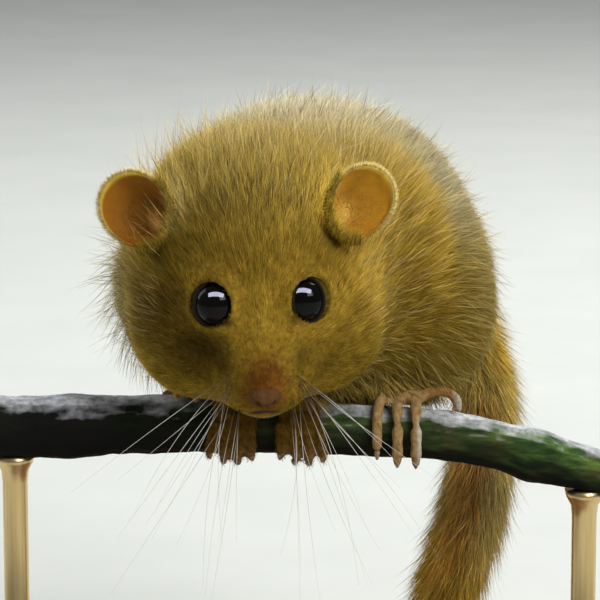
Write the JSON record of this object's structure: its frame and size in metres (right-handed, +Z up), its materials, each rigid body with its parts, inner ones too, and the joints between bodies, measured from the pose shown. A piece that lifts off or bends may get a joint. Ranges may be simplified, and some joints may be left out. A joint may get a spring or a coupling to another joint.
{
  "type": "hazel dormouse on a twig perch with a display stand",
  "caption": "Life-size still model of a hazel dormouse crouched across a short twig, its bushy tail hanging behind, on a flat base with slim rods.",
  "frame": {"origin": "bottom centre of the stand's base, on the surface that it stands on", "axes": "the animal faces -Y, the twig runs along X with the animal's left towards +X, and +Z is up"},
  "size_m": [0.096, 0.08, 0.0852],
  "materials": {
    "coat": "short dense golden-brown fur",
    "skin": "bare flesh-coloured skin of ears, toes and nose, with fine down",
    "eye": "glossy black",
    "bark": "grey-green lichened bark",
    "wood": "satin dark wood",
    "brass": "brushed"
  },
  "bodies": {
    "root": {"head": "coat", "neck": "coat", "torso": "coat", "haunch_left": "coat", "haunch_right": "coat", "tail_root": "coat", "tail_middle": "coat", "tail_tip": "coat", "foreleg_left": "coat", "foreleg_right": "coat", "ear_left": "skin", "ear_right": "skin", "forepaw_left": "skin", "forepaw_right": "skin", "hind_foot_left": "skin", "hind_foot_right": "skin", "eye_left": "eye", "eye_right": "eye", "perch": "bark", "stand_base": "wood", "stand_rod_left": "brass", "stand_rod_right": "brass"}
  },
  "joints": []
}
